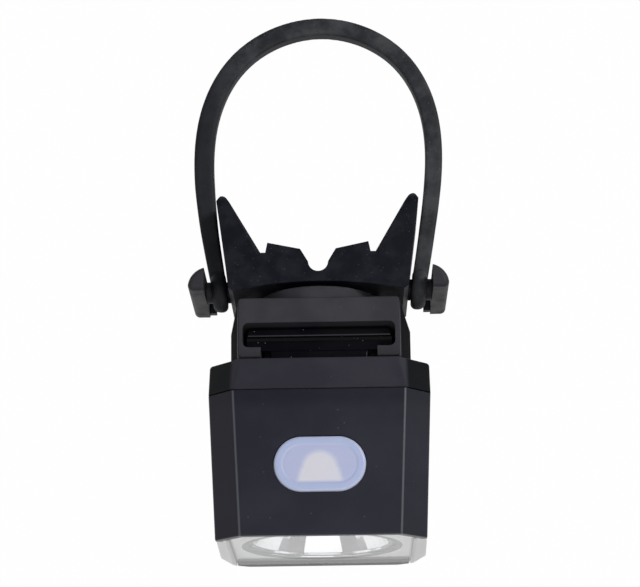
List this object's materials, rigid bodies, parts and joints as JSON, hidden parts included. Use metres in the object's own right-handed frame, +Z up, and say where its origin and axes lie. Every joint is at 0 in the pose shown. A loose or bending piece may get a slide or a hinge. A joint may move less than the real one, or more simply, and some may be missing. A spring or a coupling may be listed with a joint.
{
  "type": "bike light",
  "caption": "Compact front bike light with a bevelled housing, a top button, a slide-on swivelling cradle and a rubber strap that clasps a tube.",
  "frame": {"origin": "axis of the clamped tube, at mid height of the cradle", "axes": "+Z up through the button face and along the clamped tube, -Y along the beam, +X across the width"},
  "size_m": [0.0526, 0.114, 0.0383],
  "materials": {
    "bracket_plastic": "fine textured moulded nylon",
    "receiver_plastic": "smooth moulded nylon, matte",
    "gloss_black": "polished black plastic",
    "steel": "plated steel",
    "brass": "turned brass",
    "strap_rubber": "dusty matte rubber",
    "housing_black": "satin blue-black moulded plastic",
    "seal_rubber": "matte rubber",
    "clear_lens": "clear polycarbonate",
    "reflector_chrome": "bright vacuum coating",
    "aluminium": "bare aluminium",
    "led_yellow": "phosphor under clear silicone",
    "battery_foil": "laminated pouch foil",
    "foam": "closed cell foam",
    "circuit_board": "green solder mask",
    "chip_black": "moulded black epoxy",
    "diffuser": "milky diffuser",
    "lead_red": "insulated wire",
    "button_silicone": "translucent blue-white"
  },
  "bodies": {
    "bracket": {"cradle": "bracket_plastic", "swivel_washer": "steel"},
    "turntable": {"receiver": "receiver_plastic", "swivel_screw": "steel", "swivel_insert": "brass"},
    "band": {"strap": "strap_rubber"},
    "lamp_head": {"slide_rail": "gloss_black", "rail_screws": "steel", "rear_cover": "housing_black", "cover_screws": "steel", "rear_gasket": "seal_rubber", "main_housing": "housing_black", "front_lens": "clear_lens", "lens_gasket": "seal_rubber", "reflector": "reflector_chrome", "led_board": "aluminium", "led_emitter": "led_yellow", "heat_sink": "aluminium", "heat_sink_screws": "steel", "battery_cell": "battery_foil", "battery_pads": "foam", "main_board": "circuit_board", "board_screws": "steel", "driver_parts": "chip_black", "tact_switch": "chip_black", "status_lights": "diffuser", "charge_board": "circuit_board", "charge_port": "steel", "charge_leads": "lead_red", "led_leads": "lead_red", "battery_leads": "lead_red"},
    "push_button": {"button": "button_silicone"},
    "plunger": {"switch_plunger": "chip_black"},
    "port_flap": {"port_cover": "seal_rubber"}
  },
  "joints": [
    {"name": "swivel", "type": "hinge", "parent": "bracket", "child": "turntable", "pos_m": [0, -0.0234, 0], "axis": [0, 1, 0], "range_deg": [-90, 90]},
    {"name": "head_slide", "type": "slide", "parent": "turntable", "child": "lamp_head", "axis": [0, 0, 1], "range_m": [0, 0.024]},
    {"name": "strap_swing", "type": "hinge", "parent": "bracket", "child": "band", "pos_m": [0, -0.0211, 0], "axis": [1, 0, 0], "range_deg": [-55, 55]},
    {"name": "button_press", "type": "slide", "parent": "lamp_head", "child": "push_button", "axis": [0, 0, -1], "range_m": [0, 0.0005], "stiffness_N_per_m": 150, "springref_m": -0.002},
    {"name": "plunger_press", "type": "slide", "parent": "lamp_head", "child": "plunger", "axis": [0, 0, -1], "range_m": [0, 0.0005]},
    {"name": "port_cover_hinge", "type": "hinge", "parent": "lamp_head", "child": "port_flap", "pos_m": [0, -0.0583, -0.0184], "axis": [1, 0, 0], "range_deg": [0, 90]}
  ],
  "couplings": [
    {"joint": "plunger_press", "follows": "button_press", "ratio": 1}
  ]
}
